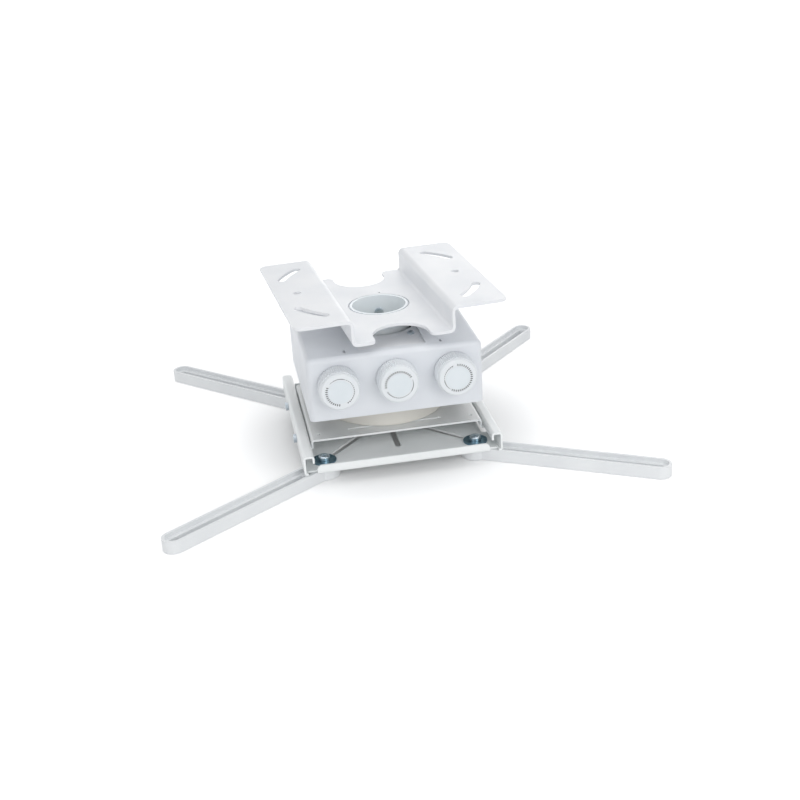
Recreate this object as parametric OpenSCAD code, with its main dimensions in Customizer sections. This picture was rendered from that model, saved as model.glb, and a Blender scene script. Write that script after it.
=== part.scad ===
// Projector mount: four arms under a tray, a geared head that tilts, rolls and turns, a ceiling plate on top
// The origin lies on the neck's turning axis, in the plane that the arms stand on

/* [Arms] */
// Distance from an arm's pivot to the centre of its round outer end
arm_length = 187.7; // [150:0.1:200]
// Width of an arm
arm_w = 22; // [20:0.5:26]
// Height of an arm
arm_h = 12.9; // [12:0.1:16]
// Radius of the round boss at an arm's pivot
arm_boss_r = 15; // [12:0.5:18]
// Direction of the front left arm, counted from +X
arm_fl_angle = 215.5; // [190:0.5:240]
// Direction of the front right arm
arm_fr_angle = -30.4; // [-60:0.1:0]
// Direction of the rear left arm
arm_rl_angle = 135.2; // [100:0.1:170]
// Direction of the rear right arm
arm_rr_angle = 46.5; // [10:0.5:80]

/* [Tray] */
// Width of the tray across its side walls
tray_w = 200; // [196:1:210]
// Depth of the tray, front to back
tray_d = 213.4; // [205:0.1:225]
// Height of the lips above the plane that the arms stand on
tray_lip_z = 33.3; // [32.8:0.1:36]
// Sheet thickness of the tray and the slide plate
sheet_t = 2; // [1.5:0.1:2]
// Distance of an arm's pivot from the tray's middle, to the side
pivot_x = 77.4; // [70:0.1:80]
// Distance of an arm's pivot from the tray's middle, to the front or back
pivot_dy = 81.5; // [75:0.1:84]

/* [Slide plate and pedestal] */
// Width of the slide plate between the tray's lips
slide_w = 175.8; // [170:0.1:176]
// Depth of the slide plate
slide_d = 146.5; // [135:0.1:150]
// Radius of the round pedestal
drum_r = 62.5; // [60:0.5:64]

/* [Head] */
// Width and depth of the head's cover
cover_w = 175; // [172:1:180]
// Lower edge of the cover
cover_z0 = 58.9; // [56:0.1:62]
// Top of the cover
cover_z1 = 124.4; // [123:0.1:130]
// Radius of the cover's outer edges
cover_r = 5.5; // [3:0.5:8]
// Distance of the outer knobs from the middle one
knob_x = 58; // [56:0.5:60]
// Height of the knobs' axes
knob_z = 96; // [95:0.5:97]
// Radius of a knob over its ribs
knob_r = 20.3; // [18:0.5:24]
// How far a knob stands out in front of the cover
knob_reach = 20; // [14:0.5:24]

/* [Ceiling plate] */
// Width of the ceiling plate across its flanges
plate_w = 212; // [200:1:230]
// Depth of the ceiling plate
plate_d = 203.4; // [190:0.1:210]
// Top of the sunk middle panel
panel_z = 142.5; // [140:0.5:150]
// Top of the two raised flanges
flange_z = 166.5; // [160:0.5:175]
// Turn of the ceiling plate about the neck
plate_yaw = 4.7; // [-20:0.1:20]
// Outer radius of the neck tube
tube_r = 30; // [28:0.5:31]

/* [Hidden] */

$fn = 48;
round_fn = 96;
white = "white";
zinc = "lightsteelblue";
steel = "silver";
brass = "goldenrod";
over = 1;

// Arms and their clamps
tray_cy = -4;
arm_groove_w = arm_w - 6;
arm_groove_depth = 4.5;
arm_slot_w = 8;
arm_groove_start = 24;
arm_slot_start = 30;
screw_r = 3;
running_gap = 0.06;
nut_af = 10;
nut_h = 5;
nut_z = 0.8;
washer_r = 12.25;
washer_t = 1.6;
clamp_head_r = 5.8;
clamp_head_h = 4.4;
pivot_front_y = tray_cy - pivot_dy;
pivot_rear_y = tray_cy + pivot_dy;

// Tray
tray_y0 = tray_cy - tray_d / 2;
tray_y1 = tray_cy + tray_d / 2;
tray_z0 = arm_h + 0.3;
floor_z1 = tray_z0 + sheet_t;
lip_w = 11;
hem_z = 25.5;
bend_r = 2.2;
upstand_half_w = 87;
upstand_z = 22.5;
slot_end_x = 34;
slot_run_y = 46.5;
clamp_slot_w = 6.6;
lock_screw_y = 41.5;
lock_screw_z = 22.6;

// Slide plate and pedestal
slide_y0 = -73.7;
slide_top = 33;
slide_foot_z = 24;
slide_foot_x = 95.4;
drum_z1 = 50;
drum_wall = 3;
drum_round = 3;
foot_h = 1;

// Tilt stage: the axis runs along X
tilt_z = 62;
tilt_pin_r = 5;
bracket_x0 = 55.5;
bracket_x1 = 60.5;
bracket_foot_z = drum_z1 + 3;
tilt_teeth = 40;
tilt_worm_r = 5.6;
mesh_gap = 0.3;
tilt_sector_r = knob_z - tilt_z - tilt_worm_r - mesh_gap;
tilt_worm_half = 14;

// Roll stage: the axis runs along Y
roll_z = 72;
roll_pin_r = 5;
roll_teeth = 50;
pinion_teeth = 10;
pinion_r = 4.4;
roll_sector_r = knob_z - roll_z - pinion_r - mesh_gap;
roll_ear_y = -69;
ear_t = 4;
rear_ear_y = 66;

// Carrier between both stages
carrier_z0 = 60;
carrier_z1 = 63;
carrier_half_x = 54.5;
carrier_half_y = 69;
carrier_window_x = 34;
carrier_window_y = 48;
post_y = 28;
post_t = 5;
post_x0 = -62;
post_x1 = -54;

// Head
chassis_t = 2.5;
chassis_top = 122;
chassis_half_x = 75;
chassis_y0 = -76;
chassis_y1 = 77;
chassis_z0 = 64;
neck_hole_r = 36;
cover_wall = 2;
cover_y0 = -cover_w / 2 + 0.5;
cover_window_x = 33.5;
shaft_r = 3;
bush_r = 8;
worm_hole_r = 13;
bearing_z0 = 85;
bearing_z1 = 88;
bearing_half_x = 44;
knob_front = cover_y0 - knob_reach;
knob_back = cover_y0 - 1;

// Rotation stage: the axis runs along Z
wheel_r = 46;
wheel_teeth = 48;
wheel_z0 = 91;
wheel_z1 = 101;
rotation_worm_r = knob_x - wheel_r - mesh_gap;
rotation_worm_half = 16;
post_r = 12;
tube_wall = 2.5;
tube_z0 = 89;
collar_z0 = 131;
collar_r = 38;

// Ceiling plate
plate_t = 3;
web_x = 50.2;
plate_bend_r = 4.5;
flange_corner_r = 9;
ear_corner_r = 6;
notch_r = 27.5;
notch_y = 89;
arc_slot_r = 102;
arc_slot_w = 8.6;
arc_slot_from = 27.2;
arc_slot_to = 46.6;
round_hole_x = 83;
round_hole_r = 4;

// Unit direction from one point to the next
function unit(a, b) = (b - a) / norm(b - a);
// A vector turned by an angle
function turned(v, a) = [v.x * cos(a) - v.y * sin(a), v.x * sin(a) + v.y * cos(a)];
// Signed angle from one direction to the next
function turn_angle(u, v) = atan2(u.x * v.y - u.y * v.x, u.x * v.x + u.y * v.y);

// Points of one face of a folded sheet at one bend, as an arc of eight steps
function bend_arc(a, b, c, r, half) =
    let (u = unit(a, b), v = unit(b, c), ang = turn_angle(u, v), s = sign(ang))
    let (start = b - u * r * tan(abs(ang) / 2), centre = start + turned(u, 90 * s) * r)
    [for (i = [0:8]) centre + turned(-turned(u, 90 * s), ang * i / 8) * (r - s * half)];

// One face of a folded sheet that follows the middle line given by points
function sheet_side(pts, r, half) =
    let (n = len(pts) - 1, first = unit(pts[0], pts[1]), last = unit(pts[n - 1], pts[n]))
    concat(
        [pts[0] + turned(first, 90) * half],
        [for (i = [1:n - 1]) for (p = bend_arc(pts[i - 1], pts[i], pts[i + 1], r, half)) p],
        [pts[n] + turned(last, 90) * half]
    );

function reversed(list) = [for (i = [len(list) - 1:-1:0]) list[i]];

// Outline of a folded sheet: its two faces, one there and one back
module folded_sheet(pts, t, r) {
    polygon(concat(sheet_side(pts, r, t / 2), reversed(sheet_side(pts, r, -t / 2))));
}

// Mirror image of a list of points about the vertical axis, in reverse order
function mirrored(pts) = reversed([for (p = pts) [-p.x, p.y]]);

// Extrudes an outline in X and Z along Y
module along_y(y0, y1) {
    translate([0, y1, 0]) rotate([90, 0, 0]) linear_extrude(y1 - y0) children();
}

// Extrudes an outline in Y and Z along X
module along_x(x0, x1) {
    translate([x0, 0, 0]) rotate([90, 0, 90]) linear_extrude(x1 - x0) children();
}

module box(lo, hi) {
    translate(lo) cube(hi - lo);
}

// Round bar along Y, X or Z
module rod_y(x, z, y0, y1, r) {
    translate([x, y0, z]) rotate([-90, 0, 0]) cylinder(h = y1 - y0, r = r);
}

module rod_x(y, z, x0, x1, r) {
    translate([x0, y, z]) rotate([0, 90, 0]) cylinder(h = x1 - x0, r = r);
}

module rod_z(x, y, z0, z1, r) {
    translate([x, y, z0]) cylinder(h = z1 - z0, r = r);
}

// Straight slot with round ends, upright through a sheet
module slot(p, q, w, z0, z1) {
    len_pq = norm(q - p);
    translate([p.x, p.y, z0]) rotate([0, 0, atan2(q.y - p.y, q.x - p.x)]) union() {
        translate([0, -w / 2, 0]) cube([len_pq, w, z1 - z0]);
        cylinder(h = z1 - z0, r = w / 2);
        translate([len_pq, 0, 0]) cylinder(h = z1 - z0, r = w / 2);
    }
}

// Tool that rounds an outline's corner: a square less the circle that stays
module corner_cut(x, y, sx, sy, r) {
    translate([x, y]) scale([sx, sy]) difference() {
        translate([-r, -r]) square(r + over);
        translate([-r, -r]) circle(r);
    }
}

// Gear teeth from one angle to another, as points on a radius
function teeth_points(n, root, tip, from, to) =
    let (step = 360 / n)
    [for (i = [floor(from / step):ceil(to / step) - 1]) for (k = [[-0.3, root], [-0.13, tip], [0.13, tip], [0.3, root]])
        let (a = (i + 0.5 + k[0]) * step) [k[1] * cos(a), k[1] * sin(a)]];

// Thread of a worm: a round with its edge swollen once for each start, twisted along its length
module worm_thread(root, tip, starts, half, turns, steps) {
    points = 18;
    rotate([90, 0, 0])
        linear_extrude(2 * half, center = true, twist = 360 * turns, slices = turns * steps)
            polygon([for (i = [0:points - 1])
                let (a = 360 * i / points, lift = (1 + cos(starts * a)) / 2, r = root + (tip - root) * lift)
                [r * cos(a), r * sin(a)]]);
}

// Hexagon bar between two heights, given across its flats
module hexagon(x, y, z0, z1, af) {
    translate([x, y, z0]) cylinder(h = z1 - z0, r = af / 2 / cos(30), $fn = 6);
}

// Cross recess of a screw head, sunk from the top
module cross_recess(x, y, z, w, depth) {
    for (turn = [0, 90])
        translate([x, y, z - depth]) rotate([0, 0, turn + 20]) translate([-w / 2, -0.6, 0]) cube([w, 1.2, depth + over]);
}

// Tray: a folded channel with lips that end in a hem, and low upstands at the front and back
module tray() {
    wall = tray_w / 2 - sheet_t / 2;
    hem = tray_w / 2 - lip_w + sheet_t / 2;
    left = [
        [-hem, hem_z], [-hem, tray_lip_z - sheet_t / 2],
        [-wall, tray_lip_z - sheet_t / 2], [-wall, tray_z0 + sheet_t / 2]
    ];
    end_gap = 3.2;
    color(white) difference() {
        union() {
            difference() {
                along_y(tray_y0, tray_y1) folded_sheet(concat(left, mirrored(left)), sheet_t, bend_r);
                for (end = [[tray_y0 - over, tray_y0 + end_gap], [tray_y1 - end_gap, tray_y1 + over]])
                    box([-tray_w / 2 + 4, end[0], tray_z0 - over], [tray_w / 2 - 4, end[1], floor_z1 + over]);
            }
            tray_upstand(tray_y0, 1, end_gap);
            tray_upstand(tray_y1, -1, end_gap);
        }
        tray_slots();
        for (sx = [-1, 1]) for (end = [[tray_y0 - over, tray_y0 + 6], [tray_y1 - 6, tray_y1 + over]])
            box([sx * 91.5 - 4.5, end[0], tray_z0 - over], [sx * 91.5 + 4.5, end[1], floor_z1 + over]);
        for (y = [-lock_screw_y, lock_screw_y])
            rod_x(y, lock_screw_z, -tray_w / 2 - over, -tray_w / 2 + 4, 2.5);
    }
}

// Upstand along one end of the tray, with its upper corners rounded
module tray_upstand(y_end, dir, run) {
    face = y_end + dir * sheet_t / 2;
    line = [[y_end + dir * (run + over), tray_z0 + sheet_t / 2], [face, tray_z0 + sheet_t / 2], [face, upstand_z]];
    corner = 5;
    difference() {
        along_x(-upstand_half_w, upstand_half_w) folded_sheet(line, sheet_t, bend_r);
        for (sx = [-1, 1])
            along_y(y_end - 2 * over, y_end + dir * 2 * sheet_t + 2 * over)
                corner_cut(sx * upstand_half_w, upstand_z, sx, 1, corner);
    }
}

// Slots in the tray's floor: four for the clamp screws, two in the middle and two beside the walls
module tray_slots() {
    z0 = tray_z0 - over;
    z1 = floor_z1 + over;
    for (sx = [-1, 1]) {
        slot([sx * pivot_x, pivot_front_y], [sx * slot_end_x, pivot_front_y + slot_run_y], clamp_slot_w, z0, z1);
        slot([sx * pivot_x, pivot_rear_y], [sx * slot_end_x, pivot_rear_y - slot_run_y], clamp_slot_w, z0, z1);
        slot([sx * 91.5, -65], [sx * 91.5, 57], 7, z0, z1);
    }
    slot([0, -73], [0, -36], 6, z0, z1);
    slot([0, 28], [0, 65], 6, z0, z1);
}

// Two screws in the tray's left wall that lock the slide plate
module lock_screws() {
    x = -tray_w / 2;
    color(zinc) for (y = [-lock_screw_y, lock_screw_y]) difference() {
        union() {
            rod_x(y, lock_screw_z, x - 3.2, x, 4.4);
            rod_x(y, lock_screw_z, x - 0.5, x + 4.2, 2.5);
        }
        translate([x - 3.2 - over, y, lock_screw_z]) rotate([0, 90, 0]) cylinder(h = 3, r = 2.2, $fn = 6);
    }
}

// Arm: a long bar with a sunk groove, a slot through it and a boss at the pivot
module arm(px, py, angle) {
    far = [arm_length, 0];
    color(white) translate([px, py, 0]) rotate([0, 0, angle]) difference() {
        union() {
            slot([0, 0], far, arm_w, 0, arm_h);
            cylinder(h = arm_h, r = arm_boss_r, $fn = round_fn);
        }
        slot([arm_groove_start, 0], far, arm_groove_w, arm_h - arm_groove_depth, arm_h + over);
        slot([arm_slot_start, 0], far, arm_slot_w, -over, arm_h);
        rod_z(0, 0, -over, arm_h + over, screw_r + running_gap);
        hexagon(0, 0, -over, nut_z + nut_h + 0.2, nut_af + 0.1);
    }
}

// Hexagon nut in the pocket under an arm's boss
module arm_nut(px, py, angle) {
    color(zinc) translate([px, py, 0]) rotate([0, 0, angle]) difference() {
        hexagon(0, 0, nut_z, nut_z + nut_h, nut_af);
        rod_z(0, 0, nut_z - over, nut_z + nut_h + over, screw_r + running_gap);
    }
}

// Wide washer on the tray's floor
module clamp_washer(px, py) {
    color(zinc) difference() {
        rod_z(px, py, floor_z1, floor_z1 + washer_t, washer_r);
        rod_z(px, py, floor_z1 - over, floor_z1 + washer_t + over, screw_r + 0.2);
    }
}

// Clamp screw: a low round head with a collar and a cross recess, and a shank down into the nut
module clamp_screw(px, py) {
    z = floor_z1 + washer_t;
    color(zinc) difference() {
        union() {
            rod_z(px, py, z, z + clamp_head_h - 1, clamp_head_r);
            translate([px, py, z + clamp_head_h - 1]) cylinder(h = 1, r1 = clamp_head_r, r2 = clamp_head_r - 1.2);
            rod_z(px, py, nut_z + 0.6, z + 0.5, screw_r);
        }
        cross_recess(px, py, z + clamp_head_h, 6.4, 2);
    }
}

// Slide plate: a folded sheet whose edges turn down and out under the tray's hems
module slide_plate() {
    side = slide_w / 2 - sheet_t / 2;
    left = [[-slide_foot_x, slide_foot_z], [-side, slide_foot_z], [-side, slide_top - sheet_t / 2]];
    z0 = slide_top - sheet_t - over;
    z1 = slide_top + over;
    color(white) difference() {
        along_y(slide_y0, slide_y0 + slide_d) folded_sheet(concat(left, mirrored(left)), sheet_t, 2);
        for (sx = [-1, 1]) for (y = [-61, 60]) rod_z(sx * 79, y, z0, z1, 2);
        slot([-47, -57.5], [47, -57.5], 3, z0, z1);
        slot([-47, 56.5], [47, 56.5], 3, z0, z1);
    }
}

// Pedestal: a pressed round cup, mouth down, with a small step at its foot
module pedestal_drum() {
    r = drum_r;
    inner = r - drum_wall;
    arc = [for (a = [0:15:90]) [r - drum_round + drum_round * cos(a), drum_z1 - drum_round + drum_round * sin(a)]];
    color("linen") difference() {
        rotate_extrude($fn = round_fn) polygon(concat(
            [[0, drum_z1 - drum_wall], [inner, drum_z1 - drum_wall], [inner, slide_top]],
            [[r - 1.5, slide_top], [r - 1.5, slide_top + foot_h], [r, slide_top + foot_h]],
            arc,
            [[0, drum_z1]]
        ));
        for (sx = [-1, 1]) for (y = [-9, 9]) rod_z(sx * 42, y, drum_z1 - drum_wall - over, drum_z1 + over, 2.6);
    }
}

// Foot and upright that carry the tilt pin on one side
module tilt_bracket_body(sx, ear_r) {
    lo = min(sx * bracket_x0, sx * bracket_x1);
    hi = max(sx * bracket_x0, sx * bracket_x1);
    inner = sx * 36;
    box([min(inner, sx * bracket_x1), -14, drum_z1], [max(inner, sx * bracket_x1), 14, bracket_foot_z]);
    box([lo, -ear_r, drum_z1], [hi, ear_r, tilt_z]);
    rod_x(0, tilt_z, lo, hi, ear_r);
}

module bracket_holes(sx) {
    rod_x(0, tilt_z, min(sx * 50, sx * 70), max(sx * 50, sx * 70), tilt_pin_r + running_gap);
    for (y = [-9, 9]) rod_z(sx * 42, y, drum_z1 - over, bracket_foot_z + over, 2.6);
}

// Left bracket: it carries the toothed sector that the tilt worm drives
module tilt_bracket_left() {
    root = tilt_sector_r - 2.2;
    fan = teeth_points(tilt_teeth, root, tilt_sector_r, 60, 119);
    color(steel) difference() {
        union() {
            tilt_bracket_body(-1, 10);
            along_x(-bracket_x1, -bracket_x0)
                translate([0, tilt_z]) polygon(concat([[-9, -2], [9, -2]], fan));
        }
        bracket_holes(-1);
    }
}

module tilt_bracket_right() {
    color(steel) difference() {
        tilt_bracket_body(1, 10);
        bracket_holes(1);
    }
}

// Pan head screw on a level face, with its shank below
module pan_screw(x, y, z, head_r, head_h, shank_r, depth) {
    difference() {
        union() {
            rod_z(x, y, z, z + head_h - 0.8, head_r);
            translate([x, y, z + head_h - 0.8]) cylinder(h = 0.8, r1 = head_r, r2 = head_r - 0.9);
            rod_z(x, y, z - depth, z + 0.4, shank_r);
        }
        cross_recess(x, y, z + head_h, head_r * 1.1, head_h * 0.5);
    }
}

module bracket_screws() {
    color(zinc) for (sx = [-1, 1]) for (y = [-9, 9])
        pan_screw(sx * 42, y, bracket_foot_z, 4, 2.4, 2.5, 5);
}

// Carrier: a flat frame with ears for the tilt pins and the roll pins, and two posts for the worm
module tilt_carrier() {
    z0 = carrier_z0;
    z1 = carrier_z1;
    root = roll_sector_r - 1.7;
    fan = teeth_points(roll_teeth, root, roll_sector_r, 54, 125);
    post_top = knob_z + 6;
    color(steel) difference() {
        union() {
            difference() {
                box([-carrier_half_x, -carrier_half_y, z0], [carrier_half_x, carrier_half_y + 1, z1]);
                box([-carrier_window_x, -carrier_window_y, z0 - over], [carrier_window_x, carrier_window_y, z1 + over]);
            }
            for (sx = [-1, 1]) rod_x(0, tilt_z, min(sx * 50, sx * 54.5), max(sx * 50, sx * 54.5), 8);
            along_y(roll_ear_y, roll_ear_y + ear_t) translate([0, roll_z]) polygon(concat([[20, -10], [12, 4]], fan, [[-12, 4], [-20, -10]]));
            box([-14, rear_ear_y, z0], [14, rear_ear_y + ear_t, roll_z]);
            rod_y(0, roll_z, rear_ear_y, rear_ear_y + ear_t, 9);
            for (y = [-post_y - post_t, post_y]) {
                box([post_x0, y, z0], [post_x1, y + post_t, post_top]);
                box([post_x0, y, z0], [-carrier_window_x, y + post_t, z1]);
            }
        }
        rod_x(0, tilt_z, -60, -44, tilt_pin_r);
        rod_x(0, tilt_z, 44, 60, tilt_pin_r);
        rod_y(0, roll_z, -72, -60, roll_pin_r + running_gap);
        rod_y(0, roll_z, 60, 72, roll_pin_r + running_gap);
        rod_y(-knob_x, knob_z, -40, 40, shaft_r + running_gap);
    }
}

// Headed pins on the tilt axis
module tilt_pins() {
    color(steel) for (sx = [-1, 1]) {
        rod_x(0, tilt_z, min(sx * 47, sx * 61.5), max(sx * 47, sx * 61.5), tilt_pin_r);
        rod_x(0, tilt_z, min(sx * 61, sx * 63.5), max(sx * 61, sx * 63.5), 7.5);
    }
}

// Headed pins on the roll axis
module roll_pins() {
    color(steel) {
        rod_y(0, roll_z, chassis_y0 - 0.5, -64, roll_pin_r);
        rod_y(0, roll_z, chassis_y0 - 3, chassis_y0, 7.5);
        rod_y(0, roll_z, 65, chassis_y1 + 0.5, roll_pin_r);
        rod_y(0, roll_z, chassis_y1, chassis_y1 + 3, 7.5);
    }
}

// Knob shaft along Y
module knob_shaft(x, y_end) {
    color(steel) rod_y(x, knob_z, knob_front + 6, y_end, shaft_r);
}

// Worm on the tilt shaft
module tilt_worm() {
    color(brass) difference() {
        translate([-knob_x, 0, knob_z]) worm_thread(tilt_worm_r - 1.8, tilt_worm_r, 1, tilt_worm_half, 6, 10);
        rod_y(-knob_x, knob_z, -20, 20, shaft_r);
    }
}

// Worm on the rotation shaft, with two starts
module rotation_worm() {
    color(brass) difference() {
        translate([knob_x, 0, knob_z])
            worm_thread(rotation_worm_r - 2.2, rotation_worm_r, 2, rotation_worm_half, 3, 12);
        rod_y(knob_x, knob_z, -20, 20, shaft_r);
    }
}

// Small spur gear on the roll shaft
module roll_pinion() {
    color(brass) difference() {
        translate([0, roll_ear_y + ear_t + 0.5, knob_z]) rotate([90, 0, 0])
            linear_extrude(ear_t + 1) polygon(teeth_points(pinion_teeth, pinion_r - 0.9, pinion_r, 0, 360));
        rod_y(0, knob_z, -75, -60, shaft_r);
    }
}

// Knob: a ribbed skirt, a rounded shoulder and a flat face, hollow at the back
module knob(x) {
    ribs = 60;
    rib_depth = 0.8;
    face_r = knob_r - 3;
    skirt_front = knob_front + 3.5;
    shoulder_r = 2.1;
    shoulder_h = 3.4;
    arc = [for (a = [0:15:90]) [face_r + shoulder_r * cos(a) - 0.1, 0.7 + shoulder_h * sin(a)]];
    color("whitesmoke") difference() {
        union() {
            translate([x, knob_back, knob_z]) rotate([90, 0, 0]) linear_extrude(knob_back - skirt_front)
                polygon([for (i = [0:2 * ribs - 1])
                    let (a = 180 * i / ribs, r = knob_r - rib_depth * (i % 2)) [r * cos(a), r * sin(a)]]);
            translate([x, skirt_front + 0.6, knob_z]) rotate([90, 0, 0]) rotate_extrude($fn = round_fn)
                polygon(concat([[0, 0], [face_r + shoulder_r - 0.1, 0]], arc, [[0, 0.7 + shoulder_h]]));
        }
        difference() {
            rod_y(x, knob_z, knob_back - 11, knob_back + over, knob_r - 3.2);
            rod_y(x, knob_z, knob_back - 12, knob_back + 2 * over, 7);
        }
        rod_y(x, knob_z, knob_front + 6, knob_back + over, shaft_r);
    }
}

// Round cap let into a knob's face
module knob_cap(x) {
    color("white") rod_y(x, knob_z, knob_front - 0.4, knob_front, 12);
}

// Chassis: a sheet folded over the mechanism, open at its sides
module head_chassis() {
    half = chassis_t / 2;
    line = [
        [chassis_y0 + half, chassis_z0], [chassis_y0 + half, chassis_top - half],
        [chassis_y1 - half, chassis_top - half], [chassis_y1 - half, chassis_z0]
    ];
    z0 = chassis_top - chassis_t - over;
    z1 = chassis_top + over;
    front = chassis_y0 - over;
    color(white) difference() {
        along_x(-chassis_half_x, chassis_half_x) folded_sheet(line, chassis_t, 4);
        translate([0, 0, z0]) cylinder(h = z1 - z0, r = neck_hole_r, $fn = round_fn);
        slot([-3.5, -70.5], [3.5, -70.5], 2.6, z0, z1);
        for (sx = [-1, 1]) rod_z(sx * 26.5, -70.8, z0, z1, 1.3);
        for (sx = [-1, 1]) for (sy = [-1, 1]) rod_z(sx * 25, sy * 40, z0, z1, 2);
        rod_y(0, roll_z, front, chassis_y1 + over, roll_pin_r);
        for (x = [0, knob_x]) rod_y(x, knob_z, front, chassis_y0 + 4, bush_r);
        rod_y(-knob_x, knob_z, front, chassis_y0 + 4, worm_hole_r + 1);
        for (sx = [-1, 1]) rod_y(sx * 60, 110, chassis_y1 - 4, chassis_y1 + over, 2);
    }
}

// Plate across the chassis that the neck turns on
module bearing_plate() {
    y0 = chassis_y0 + chassis_t;
    y1 = chassis_y1 - chassis_t;
    color(steel) difference() {
        box([-bearing_half_x, y0, bearing_z0], [bearing_half_x, y1, bearing_z1]);
        box([-24, y0 - over, bearing_z0 - over], [24, -60, bearing_z1 + over]);
    }
}

// Post that centres the neck
module pivot_post() {
    color(steel) {
        rod_z(0, 0, bearing_z1, wheel_z1 - 1, post_r);
    }
}

// Solid with rounded upright edges and a rounded top, for the cover's outside and inside
module rounded_block(half, z0, z1, r) {
    translate([0, 0.5, 0]) hull() {
        for (sx = [-1, 1]) for (sy = [-1, 1]) {
            translate([sx * (half - r), sy * (half - r), z0]) cylinder(h = 1, r = r, $fn = 32);
            translate([sx * (half - r), sy * (half - r), z1 - r]) sphere(r = r, $fn = 32);
        }
    }
}

// Cover: a shell open below, with a window in its top and holes for the knobs' shafts
module head_cover() {
    half = cover_w / 2;
    y0 = cover_y0 - over;
    y1 = cover_y0 + 2 * cover_wall + over;
    color(white) difference() {
        rounded_block(half, cover_z0, cover_z1, cover_r);
        rounded_block(half - cover_wall, cover_z0 - over, cover_z1 - cover_wall, cover_r - cover_wall);
        box([-cover_window_x, -75.5, cover_z1 - 4], [cover_window_x, 76.5, cover_z1 + over]);
        for (x = [0, knob_x]) rod_y(x, knob_z, y0, y1, bush_r + 0.3);
        rod_y(-knob_x, knob_z, y0, y1, worm_hole_r);
        for (sx = [-1, 1]) slot([sx * 48, -76.5], [sx * 48, -71.5], 2.6, cover_z1 - 4, cover_z1 + over);
        for (sx = [-1, 1]) rod_y(sx * 60, 110, 80, 92, 2.2);
    }
}

// Bushes of the roll shaft and the rotation shaft in the chassis's front
module shaft_bushes() {
    color(brass) for (x = [0, knob_x]) difference() {
        rod_y(x, knob_z, cover_y0 + 0.4, chassis_y0 + 5.5, bush_r);
        rod_y(x, knob_z, cover_y0 - over, chassis_y0 + 7, shaft_r + running_gap);
    }
}

// Bracket that holds the rotation shaft's rear end
module worm_bearing() {
    color(steel) difference() {
        box([knob_x - 7, 30, knob_z - 7], [knob_x + 7, 36, chassis_top - chassis_t]);
        rod_y(knob_x, knob_z, 29, 37, shaft_r + running_gap);
    }
}

module top_screws() {
    color(zinc) for (sx = [-1, 1]) for (sy = [-1, 1])
        pan_screw(sx * 25, sy * 40, chassis_top, 3.8, 2.2, 2, 5);
}

// Sleeves that hold the cover off the chassis at the rear
module cover_standoffs() {
    y1 = cover_y0 + cover_w - cover_wall - 0.05;
    color(steel) for (sx = [-1, 1]) difference() {
        rod_y(sx * 60, 110, chassis_y1, y1, 5);
        rod_y(sx * 60, 110, chassis_y1 - over, y1 + over, 2.1);
    }
}

module cover_screws() {
    y1 = cover_y0 + cover_w;
    color(zinc) for (sx = [-1, 1]) difference() {
        union() {
            rod_y(sx * 60, 110, y1, y1 + 2.4, 4);
            rod_y(sx * 60, 110, chassis_y1 - 4, y1 + 0.4, 2);
        }
        for (turn = [0, 90]) translate([sx * 60, y1 + 2.4, 110]) rotate([0, turn + 25, 0])
            translate([-2.3, -1.2, -0.5]) cube([4.6, 2.2, 1]);
    }
}

// Neck: a steel tube that runs from the head up to the ceiling plate
module neck_tube() {
    color(white) difference() {
        translate([0, 0, tube_z0]) cylinder(h = panel_z - tube_z0, r = tube_r, $fn = round_fn);
        translate([0, 0, tube_z0 - over]) cylinder(h = panel_z - tube_z0 + 2 * over, r = tube_r - tube_wall, $fn = round_fn);
        rotate([0, 0, 82]) rod_x(0, 124, tube_r - 5, tube_r + 3, 2.5);
    }
}

// Ring with a plain section about the neck's axis
module ring(r0, r1, z0, z1) {
    translate([0, 0, z0]) difference() {
        cylinder(h = z1 - z0, r = r1, $fn = round_fn);
        translate([0, 0, -over]) cylinder(h = z1 - z0 + 2 * over, r = r0, $fn = round_fn);
    }
}

module neck_flange() {
    color(steel) ring(tube_r, 43, 103, 108);
}

// Bearing ring between the neck's flange and the chassis
module thrust_ring() {
    color("ivory") ring(38.5, 43, 108, chassis_top - chassis_t - 0.3);
}

// Wheel on the neck that the rotation worm drives
module rotation_wheel() {
    color(brass) difference() {
        translate([0, 0, wheel_z0]) linear_extrude(wheel_z1 - wheel_z0)
            polygon(teeth_points(wheel_teeth, wheel_r - 2.4, wheel_r, 0, 360));
        translate([0, 0, wheel_z0 - over]) cylinder(h = wheel_z1 - wheel_z0 + 2 * over, r = tube_r, $fn = round_fn);
    }
}

module neck_bush() {
    color("ivory") ring(post_r + running_gap, tube_r - tube_wall, tube_z0, wheel_z1);
}

// Screw through the neck's rear wall, its head inside
module neck_screw() {
    r = tube_r - tube_wall;
    color(zinc) rotate([0, 0, 82]) difference() {
        union() {
            rod_x(0, 124, r - 3, r - 0.4, 4.6);
            rod_x(0, 124, r - 1, tube_r + 4, 2.5);
        }
        translate([r - 3 - over, 0, 124]) rotate([0, 90, 0]) cylinder(h = 2.6, r = 2.6, $fn = 6);
    }
}

// Points of an arc about a centre, from one angle to another
function arc_points(x, y, r, from, to, steps) =
    [for (i = [0:steps]) let (a = from + (to - from) * i / steps) [x + r * cos(a), y + r * sin(a)]];

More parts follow.
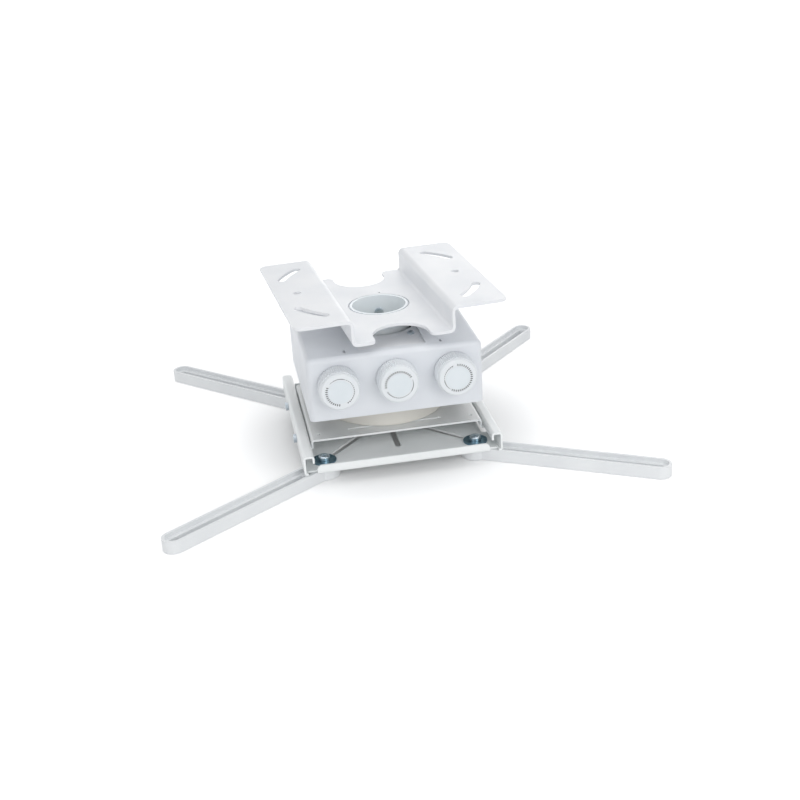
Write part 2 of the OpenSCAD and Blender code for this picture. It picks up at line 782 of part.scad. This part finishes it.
// Plan of the ceiling plate: rounded corners and a deep round notch at each end
module plate_plan() {
    half_w = plate_w / 2;
    half_d = plate_d / 2;
    flange_x = half_w - flange_corner_r;
    ear_x = notch_r + ear_corner_r;
    quarter = concat(
        arc_points(flange_x, half_d - flange_corner_r, flange_corner_r, 0, 90, 8),
        arc_points(ear_x, half_d - ear_corner_r, ear_corner_r, 90, 180, 8),
        arc_points(0, notch_y, notch_r, 0, -87, 16)
    );
    front = reversed([for (p = quarter) [p.x, -p.y]]);
    right = concat(front, quarter);
    polygon(concat(right, mirrored(right)));
}

// Curved slot round the neck's axis, in one flange
module arc_slot(from, to) {
    r = arc_slot_w / 2;
    translate([0, 0, flange_z - plate_t - over]) linear_extrude(plate_t + 2 * over) polygon(concat(
        arc_points(0, 0, arc_slot_r + r, from, to, 12),
        arc_points(arc_slot_r * cos(to), arc_slot_r * sin(to), r, to + 22.5, to + 157.5, 6),
        arc_points(0, 0, arc_slot_r - r, to, from, 12),
        arc_points(arc_slot_r * cos(from), arc_slot_r * sin(from), r, from + 202.5, from + 337.5, 6)
    ));
}

// Ceiling plate: one sheet folded to a hat, with two raised flanges and a sunk panel
module ceiling_plate() {
    half = plate_t / 2;
    left = [[-plate_w / 2 - over, flange_z - half], [-web_x, flange_z - half], [-web_x, panel_z - half]];
    color(white) rotate([0, 0, plate_yaw]) difference() {
        intersection() {
            along_y(-plate_d / 2 - over, plate_d / 2 + over) folded_sheet(concat(left, mirrored(left)), plate_t, plate_bend_r);
            translate([0, 0, panel_z - 2 * plate_t]) linear_extrude(flange_z - panel_z + 3 * plate_t) plate_plan();
        }
        rod_z(0, 0, panel_z - plate_t - over, panel_z + over, tube_r + 1.6);
        rod_z(9, 35, panel_z - plate_t - over, panel_z + over, 1.5);
        for (turn = [0, 180]) rotate([0, 0, turn]) {
            arc_slot(arc_slot_from, arc_slot_to);
            arc_slot(-arc_slot_to, -arc_slot_from);
            rod_z(round_hole_x, 0, flange_z - plate_t - over, flange_z + over, round_hole_r);
        }
    }
}

// Ring under the panel that clamps round the neck
module plate_collar() {
    color(white) rotate([0, 0, plate_yaw]) difference() {
        ring(tube_r + 0.05, collar_r, collar_z0, panel_z - plate_t);
        for (a = [35, 145]) rotate([0, 0, a]) rod_x(0, 135.5, tube_r - 1, collar_r + over, 2.5);
    }
}

module collar_screws() {
    color(zinc) rotate([0, 0, plate_yaw]) for (a = [35, 145]) rotate([0, 0, a]) {
        rod_x(0, 135.5, tube_r + 0.3, collar_r + 0.4, 2.5);
        rod_x(0, 135.5, collar_r, collar_r + 3.5, 4);
    }
}

tray();
lock_screws();
clamp_washer(-pivot_x, pivot_front_y);  // clamp_washer_fl
clamp_washer(pivot_x, pivot_front_y);  // clamp_washer_fr
clamp_washer(-pivot_x, pivot_rear_y);  // clamp_washer_rl
clamp_washer(pivot_x, pivot_rear_y);  // clamp_washer_rr
clamp_screw(-pivot_x, pivot_front_y);  // clamp_screw_fl
clamp_screw(pivot_x, pivot_front_y);  // clamp_screw_fr
clamp_screw(-pivot_x, pivot_rear_y);  // clamp_screw_rl
clamp_screw(pivot_x, pivot_rear_y);  // clamp_screw_rr
arm(-pivot_x, pivot_front_y, arm_fl_angle);  // arm_fl
arm(pivot_x, pivot_front_y, arm_fr_angle);  // arm_fr
arm(-pivot_x, pivot_rear_y, arm_rl_angle);  // arm_rl
arm(pivot_x, pivot_rear_y, arm_rr_angle);  // arm_rr
arm_nut(-pivot_x, pivot_front_y, arm_fl_angle);  // arm_nut_fl
arm_nut(pivot_x, pivot_front_y, arm_fr_angle);  // arm_nut_fr
arm_nut(-pivot_x, pivot_rear_y, arm_rl_angle);  // arm_nut_rl
arm_nut(pivot_x, pivot_rear_y, arm_rr_angle);  // arm_nut_rr
slide_plate();
pedestal_drum();
tilt_bracket_left();
tilt_bracket_right();
bracket_screws();
tilt_carrier();
tilt_pins();
knob_shaft(-knob_x, post_y + post_t + 2);  // tilt_shaft
tilt_worm();
knob(-knob_x);  // tilt_knob
knob_cap(-knob_x);  // tilt_knob_cap
head_chassis();
bearing_plate();
pivot_post();
head_cover();
roll_pins();
shaft_bushes();
worm_bearing();
top_screws();
cover_standoffs();
cover_screws();
knob_shaft(0, -54);  // roll_shaft
roll_pinion();
knob(0);  // roll_knob
knob_cap(0);  // roll_knob_cap
knob_shaft(knob_x, 38);  // rotation_shaft
rotation_worm();
knob(knob_x);  // rotation_knob
knob_cap(knob_x);  // rotation_knob_cap
neck_tube();
neck_flange();
thrust_ring();
rotation_wheel();
neck_bush();
neck_screw();
ceiling_plate();
plate_collar();
collar_screws();
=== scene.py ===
"""A ceiling mount for a projector: powder-coated sheet steel, cast arms, a geared head with moulded knobs.

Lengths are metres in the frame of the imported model: +X right, +Y back, +Z up, arms standing on z = 0.
Names that end in _mm or _MM hold millimetres.
"""

import math

import bmesh
import bpy
from mathutils import Matrix, Vector


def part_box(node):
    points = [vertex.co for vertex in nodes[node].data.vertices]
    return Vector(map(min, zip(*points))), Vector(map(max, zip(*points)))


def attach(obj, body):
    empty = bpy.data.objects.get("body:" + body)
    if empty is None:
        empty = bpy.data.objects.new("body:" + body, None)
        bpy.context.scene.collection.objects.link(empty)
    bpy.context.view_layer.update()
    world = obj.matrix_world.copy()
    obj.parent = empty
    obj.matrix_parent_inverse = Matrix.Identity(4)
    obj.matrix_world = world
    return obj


MM = 0.001

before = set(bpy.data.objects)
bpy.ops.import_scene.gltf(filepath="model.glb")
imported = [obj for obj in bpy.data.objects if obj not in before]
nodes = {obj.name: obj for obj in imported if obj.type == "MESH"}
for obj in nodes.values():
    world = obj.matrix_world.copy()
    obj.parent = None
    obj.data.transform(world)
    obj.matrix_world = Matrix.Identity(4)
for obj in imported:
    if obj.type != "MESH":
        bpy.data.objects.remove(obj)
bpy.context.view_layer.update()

KNOBS = ("tilt_knob", "roll_knob", "rotation_knob")
CORNERS = ("fl", "fr", "rl", "rr")


def each(part, places):
    """The nodes' names of a part that is there more than once."""
    return [part.format(place) for place in places]


# Colours and nodes

def linear(code):
    """An sRGB hex colour as a linear RGBA value."""
    channels = [int(code[i:i + 2], 16) / 255 for i in (1, 3, 5)]
    return tuple(c / 12.92 if c <= 0.04045 else ((c + 0.055) / 1.055) ** 2.4 for c in channels) + (1.0,)


def add(tree, kind, inputs=None, **settings):
    """Adds a node. inputs gives each socket, by name or number, a value, a socket, or a node's first output."""
    node = tree.nodes.new(kind)
    for name, value in settings.items():
        setattr(node, name, value)
    for key, value in (inputs or {}).items():
        source = value.outputs[0] if isinstance(value, bpy.types.Node) else value
        if isinstance(source, bpy.types.NodeSocket):
            tree.links.new(source, node.inputs[key])
        else:
            node.inputs[key].default_value = source
    return node


def per_mm(size):
    """Noise scale whose lumps are about this many millimetres across."""
    return 1.0 / (size * MM)


def waves_per_mm(pitch):
    """Wave scale whose crests are about this many millimetres apart: the texture has 20 radians a unit."""
    return math.tau / 20.0 * per_mm(pitch)


def new_material(name):
    """An empty node material, its tree and the coordinates of the piece it is on."""
    material = bpy.data.materials.new(name)
    material.use_nodes = True
    tree = material.node_tree
    tree.nodes.clear()
    return material, tree, add(tree, "ShaderNodeTexCoord").outputs["Object"]


def uneven(tree, patches, colour, shade):
    """A colour that drifts to a second tone with a noise's patches."""
    share = add(tree, "ShaderNodeMapRange", {"Value": patches, "From Min": 0.3, "From Max": 0.7})
    # The mix node takes colours in sockets 6 and 7 and gives one from output 2
    return add(tree, "ShaderNodeMix", {0: share, 6: linear(colour), 7: linear(shade)}, data_type="RGBA").outputs[2]


def finish_surface(tree, sockets, relief=None, strength=0.3, depth_mm=0.01):
    """Joins a principled surface to the output, with a fine relief where one is given."""
    if relief is not None:
        sockets["Normal"] = add(tree, "ShaderNodeBump", {"Strength": strength, "Distance": depth_mm * MM,
                                                         "Height": relief})
    add(tree, "ShaderNodeOutputMaterial", {"Surface": add(tree, "ShaderNodeBsdfPrincipled", sockets)})


# Finishes

def powder_coat(name, colour, shade, roughness=0.42, peel_mm=1.3, peel_depth_mm=0.02):
    """Baked polyester powder: a soft sheen, a faint orange peel and slightly uneven cover."""
    material, tree, place = new_material(name)
    cover = add(tree, "ShaderNodeTexNoise", {"Vector": place, "Scale": per_mm(38.0), "Detail": 2.0})
    grain = add(tree, "ShaderNodeTexNoise", {"Vector": place, "Scale": per_mm(0.5), "Detail": 4.0})
    peel = add(tree, "ShaderNodeTexNoise", {"Vector": place, "Scale": per_mm(peel_mm), "Detail": 3.0})
    sheen = add(tree, "ShaderNodeMapRange", {
        "Value": add(tree, "ShaderNodeMath", {0: cover, 1: grain}, operation="MULTIPLY"),
        "From Min": 0.15, "From Max": 0.4, "To Min": roughness - 0.05, "To Max": roughness + 0.07})
    finish_surface(tree, {"Base Color": uneven(tree, cover, colour, shade), "Roughness": sheen, "IOR": 1.5},
                   peel, 0.35, peel_depth_mm)
    return material


def zinc_plate(name, dark, light, centre=(0.0, 0.0, 0.0)):
    """Zinc plate with a passivate film: spangled metal in cloudy tones, with turned rings about its centre.

    Real rings are a few tenths of a millimetre apart. They are drawn 3.5 mm apart, so that they show.
    """
    material, tree, place = new_material(name)
    centred = add(tree, "ShaderNodeMapping", {"Vector": place, "Location": [-c for c in centre]})
    film = add(tree, "ShaderNodeTexNoise", {"Vector": centred, "Scale": per_mm(5.0), "Detail": 2.0})
    spangle = add(tree, "ShaderNodeTexNoise", {"Vector": centred, "Scale": per_mm(0.35), "Detail": 3.0})
    rings = add(tree, "ShaderNodeTexWave", {"Vector": centred, "Scale": waves_per_mm(3.456), "Distortion": 0.6},
                wave_type="RINGS", rings_direction="Z").outputs["Fac"]
    rough = add(tree, "ShaderNodeMapRange", {"Value": spangle, "From Min": 0.3, "From Max": 0.7,
                                             "To Min": 0.2, "To Max": 0.36})
    finish_surface(tree, {"Base Color": uneven(tree, film, dark, light), "Metallic": 1.0, "Roughness": rough},
                   rings, 0.25, 0.01)
    return material


def rolled_steel(name, dark, light):
    """Bare cold-rolled steel under a film of oil: fine lines one way and a cloudy sheen."""
    material, tree, place = new_material(name)
    drawn = add(tree, "ShaderNodeMapping", {"Vector": place, "Scale": (0.06, 1.0, 1.0)})
    lines = add(tree, "ShaderNodeTexNoise", {"Vector": drawn, "Scale": per_mm(0.4), "Detail": 4.0})
    cloud = add(tree, "ShaderNodeTexNoise", {"Vector": place, "Scale": per_mm(14.0), "Detail": 2.0})
    rough = add(tree, "ShaderNodeMapRange", {"Value": lines, "From Min": 0.3, "From Max": 0.7,
                                             "To Min": 0.3, "To Max": 0.48})
    finish_surface(tree, {"Base Color": uneven(tree, cloud, dark, light), "Metallic": 1.0, "Roughness": rough},
                   lines, 0.3, 0.01)
    return material


def hobbed_brass(name, dark, light):
    """Machined brass: warm metal with the hob's lines, drawn 3.8 mm apart so that they show."""
    material, tree, place = new_material(name)
    cut = add(tree, "ShaderNodeTexWave", {"Vector": place, "Scale": waves_per_mm(3.77), "Distortion": 1.5},
              bands_direction="DIAGONAL").outputs["Fac"]
    cloud = add(tree, "ShaderNodeTexNoise", {"Vector": place, "Scale": per_mm(9.0), "Detail": 2.0})
    rough = add(tree, "ShaderNodeMapRange", {"Value": cut, "To Min": 0.24, "To Max": 0.38})
    finish_surface(tree, {"Base Color": uneven(tree, cloud, dark, light), "Metallic": 1.0, "Roughness": rough},
                   cut, 0.3, 0.012)
    return material


def fine_grain(name, colour, shade, roughness, grain_mm=0.45, depth_mm=0.012):
    """A matt, even grain: plastic from a spark-eroded mould, or the crystals of phosphated steel."""
    material, tree, place = new_material(name)
    grain = add(tree, "ShaderNodeTexNoise", {"Vector": place, "Scale": per_mm(grain_mm), "Detail": 5.0})
    flow = add(tree, "ShaderNodeTexNoise", {"Vector": place, "Scale": per_mm(16.0), "Detail": 2.0})
    rough = add(tree, "ShaderNodeMapRange", {"Value": grain, "From Min": 0.3, "From Max": 0.7,
                                             "To Min": roughness - 0.04, "To Max": roughness + 0.05})
    finish_surface(tree, {"Base Color": uneven(tree, flow, colour, shade), "Roughness": rough, "IOR": 1.53},
                   grain, 0.4, depth_mm)
    return material


def printed_ink(name, colour, shade):
    """Pad-printed ink: a dull film that is slightly uneven."""
    material, tree, place = new_material(name)
    film = add(tree, "ShaderNodeTexNoise", {"Vector": place, "Scale": per_mm(0.8), "Detail": 2.0})
    rough = add(tree, "ShaderNodeMapRange", {"Value": film, "From Min": 0.3, "From Max": 0.7,
                                             "To Min": 0.45, "To Max": 0.6})
    finish_surface(tree, {"Base Color": uneven(tree, film, colour, shade), "Roughness": rough})
    return material


# Whites differ a little from part to part: the cover's is a little darker, and the tray's and the tube's are painted
# lighter, to lift the shade on the slide plate under the head and inside the tube
SHEET_WHITE = powder_coat("powder_coated_steel_white", "#F0F1F3", "#EBEDF0")
COVER_WHITE = powder_coat("powder_coated_steel_cover", "#E8EBEF", "#E3E6EB")
# Painted lighter than the sheet's white, to lift the shade on the tray and the slide plate under the head
TRAY_WHITE_PAINTED_LIGHTER = powder_coat("powder_coated_steel_tray", "#F9FBFB", "#F4F7F7", roughness=0.4)
# Painted lighter than the sheet's white, to lift the shade inside the tube
TUBE_WHITE_PAINTED_LIGHTER = powder_coat("powder_coated_tube", "#F5FAFD", "#F0F6FA", roughness=0.36)
# A casting's skin shows through its coat as a coarser peel
ARM_WHITE = powder_coat("powder_coated_die_casting", "#EEF0F1", "#E8EAEC", 0.45, 1.8, 0.03)
# Stoved enamel flows out more than powder, and is warmer than the rest
PEDESTAL_ENAMEL = powder_coat("stoved_enamel_warm_grey", "#EDEAE3", "#E8E5DD", 0.38, 2.2)
STEEL = rolled_steel("cold_rolled_steel", "#9A9DA0", "#B4B6B8")
PHOSPHATE = fine_grain("phosphated_steel", "#2C2D30", "#222326", 0.5, grain_mm=0.7)
BRASS = hobbed_brass("machined_brass", "#C2A25C", "#D2B878")
KNOB_ABS = fine_grain("moulded_abs_white", "#EBEEF1", "#E6EAED", 0.46)
# The caps come from a finer tool, so they are smoother and bluer than the knobs
CAP_ABS = fine_grain("moulded_abs_cap", "#E6ECF0", "#E1E8EC", 0.36, grain_mm=0.3, depth_mm=0.006)
ACETAL = fine_grain("moulded_acetal", "#E9E4D6", "#E2DCCB", 0.4)
INK = printed_ink("pad_printed_ink", "#17181A", "#26272A")
ZINC = zinc_plate("bright_zinc_plate", "#AFBCC6", "#D3DAE0")


def dress(material, *names):
    """Gives CAD nodes one material over their whole surface."""
    for name in names:
        mesh = nodes[name].data
        mesh.materials.clear()
        mesh.materials.append(material)


dress(SHEET_WHITE, "head_chassis", "ceiling_plate", "plate_collar")
dress(COVER_WHITE, "head_cover")
dress(TRAY_WHITE_PAINTED_LIGHTER, "tray", "slide_plate")
dress(TUBE_WHITE_PAINTED_LIGHTER, "neck_tube")
dress(PEDESTAL_ENAMEL, "pedestal_drum")
dress(ARM_WHITE, *each("arm_{}", CORNERS))
dress(STEEL, "tilt_bracket_left", "tilt_bracket_right", "tilt_carrier", "tilt_pins", "tilt_shaft", "bearing_plate",
      "pivot_post", "roll_pins", "worm_bearing", "cover_standoffs", "roll_shaft", "rotation_shaft")
dress(PHOSPHATE, "neck_flange")
dress(BRASS, "tilt_worm", "rotation_worm", "roll_pinion", "rotation_wheel", "shaft_bushes")
dress(KNOB_ABS, *KNOBS)
dress(CAP_ABS, *each("{}_cap", KNOBS))
dress(ACETAL, "thrust_ring", "neck_bush")
dress(ZINC, "lock_screws", "bracket_screws", "top_screws", "cover_screws", "neck_screw", "collar_screws",
      *each("arm_nut_{}", CORNERS))
for corner in CORNERS:
    washer_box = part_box(f"clamp_washer_{corner}")
    centre = [(low + high) / 2 for low, high in zip(*washer_box)]
    dress(zinc_plate(f"blue_zinc_turned_{corner}", "#5C7C8C", "#7F9DAB", centre), f"clamp_washer_{corner}")
    dress(zinc_plate(f"bright_zinc_turned_{corner}", "#B3C2CC", "#D9E1E6", centre), f"clamp_screw_{corner}")


# Edges

# Corners of loose triangles that lie closer than this are one corner
JOIN_MM = 0.0005
# Faces that meet flatter than the first angle are one plane, and edges sharper than the second are rounded
PLANE_DEG = 0.6
SHARP_DEG = 32.0


def soften(width_mm, *names):
    """Rounds a CAD node's sharp edges as paint or a mould does, after its loose triangles are joined."""
    for name in names:
        node = nodes[name]
        join = node.modifiers.new("join", "WELD")
        join.merge_threshold = JOIN_MM * MM
        flat = node.modifiers.new("flat", "DECIMATE")
        flat.decimate_type = "DISSOLVE"
        flat.angle_limit = math.radians(PLANE_DEG)
        edges = node.modifiers.new("edges", "BEVEL")
        edges.width = width_mm * MM
        edges.segments = 2
        edges.limit_method = "ANGLE"
        edges.angle_limit = math.radians(SHARP_DEG)
        edges.use_clamp_overlap = True
        level = node.modifiers.new("level", "WEIGHTED_NORMAL")
        level.mode = "FACE_AREA"
        level.weight = 60
        level.keep_sharp = True
        for polygon in node.data.polygons:
            polygon.use_smooth = True


soften(0.45, "head_cover", "ceiling_plate", "tray", "slide_plate", "head_chassis", "plate_collar", "neck_tube")
soften(0.9, *each("arm_{}", CORNERS))
soften(0.25, *each("clamp_washer_{}", CORNERS), *each("clamp_screw_{}", CORNERS),
       "lock_screws", "top_screws", "cover_screws", "collar_screws", "neck_screw")
soften(0.2, *each("{}_cap", KNOBS))


# Marks on the knobs

RING_R_MM = 13.6
FILM_MM = 0.06
FIRST_DOT_MM = 1.3
LAST_DOT_MM = 0.8
ARC_FROM_MM = 0.7
ARC_TO_MM = 0.25
ARC_STEPS = 40
TICK_MM = 0.95
# A tick's length, counted in its widths
TICK_LENGTH = 2.7
TICK_STEP_DEG = 9.0


def marks_tree():
    """Geometry nodes for a row of flat marks on an arc, from one size to another: round dots, or long ticks."""
    tree = bpy.data.node_groups.new("knob_marks", "GeometryNodeTree")
    for name, kind in (("Count", "Int"), ("Radius", "Float"), ("Start", "Float"), ("Step", "Float"),
                       ("First size", "Float"), ("Last size", "Float"), ("Length", "Float"),
                       ("Thickness", "Float"), ("Ink", "Material")):
        tree.interface.new_socket(name, in_out="INPUT", socket_type=f"NodeSocket{kind}")
    tree.interface.new_socket("Geometry", in_out="OUTPUT", socket_type="NodeSocketGeometry")
    given = add(tree, "NodeGroupInput").outputs

    # Each mark's angle and place
    index = add(tree, "GeometryNodeInputIndex")
    turned = add(tree, "ShaderNodeMath", {0: index, 1: given["Step"]}, operation="MULTIPLY")
    angle = add(tree, "ShaderNodeMath", {0: given["Start"], 1: turned})
    cosine = add(tree, "ShaderNodeMath", {0: angle}, operation="COSINE")
    sine = add(tree, "ShaderNodeMath", {0: angle}, operation="SINE")
    place = add(tree, "ShaderNodeCombineXYZ", {
        "X": add(tree, "ShaderNodeMath", {0: cosine, 1: given["Radius"]}, operation="MULTIPLY"),
        "Y": add(tree, "ShaderNodeMath", {0: sine, 1: given["Radius"]}, operation="MULTIPLY")})
    points = add(tree, "GeometryNodePoints", {"Count": given["Count"], "Position": place})

    # Each mark's size, by how far along the row it is. The mix node takes numbers in sockets 2 and 3
    last = add(tree, "ShaderNodeMath", {0: given["Count"], 1: 1.0}, operation="SUBTRACT")
    steps = add(tree, "ShaderNodeMath", {0: last, 1: 1.0}, operation="MAXIMUM")
    along = add(tree, "ShaderNodeMath", {0: index, 1: steps}, operation="DIVIDE")
    size = add(tree, "ShaderNodeMix", {0: along, 2: given["First size"], 3: given["Last size"]})
    length = add(tree, "ShaderNodeMath", {0: size, 1: given["Length"]}, operation="MULTIPLY")

    # A disc of unit size, turned to face outwards along the arc and grown to the mark's size
    disc = add(tree, "GeometryNodeMeshCylinder", {"Vertices": 16, "Radius": 0.5, "Depth": 1.0})
    placed = add(tree, "GeometryNodeInstanceOnPoints", {
        "Points": points, "Instance": disc, "Rotation": add(tree, "ShaderNodeCombineXYZ", {"Z": angle}),
        "Scale": add(tree, "ShaderNodeCombineXYZ", {"X": length, "Y": size, "Z": given["Thickness"]})})
    real = add(tree, "GeometryNodeRealizeInstances", {0: placed})
    inked = add(tree, "GeometryNodeSetMaterial", {"Geometry": real, "Material": given["Ink"]})
    add(tree, "NodeGroupOutput", {0: inked})
    return tree


def grown_mesh(tree, values):
    """The mesh that a geometry nodes tree makes with the named inputs."""
    carrier = bpy.data.objects.new("carrier", bpy.data.meshes.new("carrier"))
    bpy.context.scene.collection.objects.link(carrier)
    modifier = carrier.modifiers.new("grow", "NODES")
    modifier.node_group = tree
    for item in tree.interface.items_tree:
        if item.in_out == "INPUT":
            modifier[item.identifier] = values[item.name]
    bpy.context.view_layer.update()
    evaluated = carrier.evaluated_get(bpy.context.evaluated_depsgraph_get())
    mesh = bpy.data.meshes.new_from_object(evaluated)
    bpy.data.objects.remove(carrier)
    return mesh


def arc_strip(bm, start, end):
    """Adds a thin flat arc of print that narrows from its start to its end."""
    rings = []
    for i in range(ARC_STEPS + 1):
        share = i / ARC_STEPS
        angle = start + (end - start) * share
        half = (ARC_FROM_MM + (ARC_TO_MM - ARC_FROM_MM) * share) / 2
        ring = []
        for r, z in ((RING_R_MM - half, -FILM_MM / 2), (RING_R_MM + half, -FILM_MM / 2),
                     (RING_R_MM + half, FILM_MM / 2), (RING_R_MM - half, FILM_MM / 2)):
            ring.append(bm.verts.new((r * math.cos(angle) * MM, r * math.sin(angle) * MM, z * MM)))
        rings.append(ring)
    for a, b in zip(rings, rings[1:]):
        for k in range(4):
            bm.faces.new((a[k], a[(k + 1) % 4], b[(k + 1) % 4], b[k]))
    bm.faces.new(rings[0][::-1])
    bm.faces.new(rings[-1])


MARKS = marks_tree()


def knob_marks(name, knob, body, dots_from, dots, dot_step, arc, ticks_from, ticks_to):
    """Ring of print on a knob's face: dots that shrink to a thin arc, and plain ticks over the rest.

    The angles are degrees, anticlockwise from the knob's right as its face is seen.
    """
    low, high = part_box(knob)
    face_centre = Vector(((low[0] + high[0]) / 2, low[1], (low[2] + high[2]) / 2))
    start, step, tick_step = math.radians(dots_from), math.radians(dot_step), math.radians(TICK_STEP_DEG)
    shared = {"Radius": RING_R_MM * MM, "Thickness": FILM_MM * MM, "Ink": INK}
    row = grown_mesh(MARKS, dict(shared, **{
        "Count": dots, "Start": start, "Step": step, "First size": FIRST_DOT_MM * MM,
        "Last size": LAST_DOT_MM * MM, "Length": 1.0}))
    scale = grown_mesh(MARKS, dict(shared, **{
        "Count": int((ticks_to - ticks_from) / TICK_STEP_DEG), "Start": math.radians(ticks_from),
        "Step": tick_step, "First size": TICK_MM * MM, "Last size": TICK_MM * MM, "Length": TICK_LENGTH}))
    bm = bmesh.new()
    bm.from_mesh(row)
    bm.from_mesh(scale)
    dots_end = start + dots * step
    arc_strip(bm, dots_end - 0.6 * step, dots_end + math.radians(arc))
    bmesh.ops.recalc_face_normals(bm, faces=bm.faces)
    mesh = bpy.data.meshes.new(name)
    bm.to_mesh(mesh)
    bm.free()
    mesh.transform(Matrix.Translation(face_centre) @ Matrix.Rotation(math.radians(90), 4, "X"))
    mesh.materials.clear()
    mesh.materials.append(INK)
    piece = bpy.data.objects.new(name, mesh)
    bpy.context.scene.collection.objects.link(piece)
    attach(piece, body)


knob_marks("tilt_marks", "tilt_knob", "tilt_drive",
           dots_from=-60, dots=15, dot_step=9.2, arc=57, ticks_from=155, ticks_to=280)
knob_marks("roll_marks", "roll_knob", "roll_drive",
           dots_from=209, dots=14, dot_step=8.8, arc=45, ticks_from=32, ticks_to=196)
knob_marks("rotation_marks", "rotation_knob", "rotation_drive",
           dots_from=113, dots=9, dot_step=8.8, arc=42, ticks_from=-118, ticks_to=100)


# Floor, light and camera

FLOOR_HALF = 6.0
FLOOR_BELOW_MM = 0.3
# The floor glows to the camera more and more over a short way just outside the tray, and then slowly to the far end:
# painted shade under and around the object, and painted light over its shadow further off
RIM_FROM, RIM_TO = 0.1, 0.17
FAR_FROM, FAR_TO = 0.2, 1.0


def pale_floor():
    """Pale matt floor: plain paint near the object, where it takes the shadow and a painted shade from its weak glow,
    and brighter to the camera far off.
    """
    material, tree, place = new_material("pale_floor")
    away = add(tree, "ShaderNodeVectorMath", {0: place}, operation="LENGTH").outputs["Value"]
    # The glow is weakest under and around the object, which paints shade there
    rim = add(tree, "ShaderNodeMapRange", {"Value": away, "From Min": RIM_FROM, "From Max": RIM_TO,
                                           "To Min": 0.02, "To Max": 0.3})
    far = add(tree, "ShaderNodeMapRange", {"Value": away, "From Min": FAR_FROM, "From Max": FAR_TO,
                                           "To Min": 0.0, "To Max": 0.7})
    path = add(tree, "ShaderNodeLightPath").outputs
    seen = add(tree, "ShaderNodeMath", {0: path["Is Camera Ray"], 1: path["Is Glossy Ray"]}, operation="MAXIMUM")
    rise = add(tree, "ShaderNodeMath", {0: rim, 1: far})
    lift = add(tree, "ShaderNodeMath", {0: seen, 1: rise}, operation="MULTIPLY")
    matt = add(tree, "ShaderNodeBsdfDiffuse", {"Color": linear("#F6F6F6")})
    glow = add(tree, "ShaderNodeEmission", {"Color": linear("#FFFFFF"), "Strength": lift})
    both = add(tree, "ShaderNodeAddShader", {0: matt, 1: glow})
    add(tree, "ShaderNodeOutputMaterial", {"Surface": both})
    corners = [(x * FLOOR_HALF, y * FLOOR_HALF, -FLOOR_BELOW_MM * MM) for x, y in ((-1, -1), (1, -1), (1, 1), (-1, 1))]
    mesh = bpy.data.meshes.new("floor")
    mesh.from_pydata(corners, [], [(0, 1, 2, 3)])
    mesh.materials.append(material)
    floor = bpy.data.objects.new("floor", mesh)
    bpy.context.scene.collection.objects.link(floor)


def white_surround(level):
    """World that lights evenly at a level and shows as white to the camera and in polished metal."""
    world = bpy.data.worlds.new("surround")
    bpy.context.scene.world = world
    world.use_nodes = True
    tree = world.node_tree
    tree.nodes.clear()
    path = add(tree, "ShaderNodeLightPath").outputs
    mirrored = add(tree, "ShaderNodeMath", {0: path["Is Glossy Ray"], 1: path["Is Transmission Ray"]},
                   operation="MAXIMUM")
    seen = add(tree, "ShaderNodeMath", {0: path["Is Camera Ray"], 1: mirrored}, operation="MAXIMUM")
    plain = add(tree, "ShaderNodeBackground", {"Color": (0.97, 0.985, 1.0, 1.0), "Strength": level})
    white = add(tree, "ShaderNodeBackground", {"Color": linear("#FFFFFF"), "Strength": 1.0})
    either = add(tree, "ShaderNodeMixShader", {0: seen, 1: plain, 2: white})
    add(tree, "ShaderNodeOutputWorld", {"Surface": either})


def soft_lamp(name, place, aim_height, size, watts):
    """Square soft lamp that faces a point on the neck's axis."""
    data = bpy.data.lights.new(name, "AREA")
    data.size = size
    data.energy = watts
    lamp = bpy.data.objects.new(name, data)
    lamp.location = place
    lamp.rotation_euler = (Vector((0, 0, aim_height)) - Vector(place)).to_track_quat("-Z", "Y").to_euler()
    bpy.context.scene.collection.objects.link(lamp)


def photo_camera(place, right, up, lens):
    """Camera where the photograph was taken from, for an image of 800 by 800."""
    right, up = Vector(right), Vector(up)
    axes = Matrix((right, up, right.cross(up))).transposed().to_4x4()
    data = bpy.data.cameras.new("photo_camera")
    data.sensor_width = 36.0
    data.lens = lens
    data.clip_start = 0.05
    camera = bpy.data.objects.new("photo_camera", data)
    camera.matrix_world = Matrix.Translation(place) @ axes
    bpy.context.scene.collection.objects.link(camera)
    bpy.context.scene.camera = camera


pale_floor()
white_surround(0.55)
soft_lamp("key", (-0.2, 0.1, 2.1), 0.08, 1.8, 10.3)
soft_lamp("front", (0.6, -1.5, 0.75), 0.06, 0.9, 6.8)
soft_lamp("side", (-1.1, -1.35, 0.5), 0.05, 0.8, 2.8)
soft_lamp("rear", (0.7, 1.6, 0.6), 0.06, 1.2, 4.5)
photo_camera((-0.17786, -1.24939, 0.59361), (0.98251, -0.17759, -0.05595), (0.12261, 0.39091, 0.91223), 58.52)
bpy.context.scene.view_settings.view_transform = "Standard"
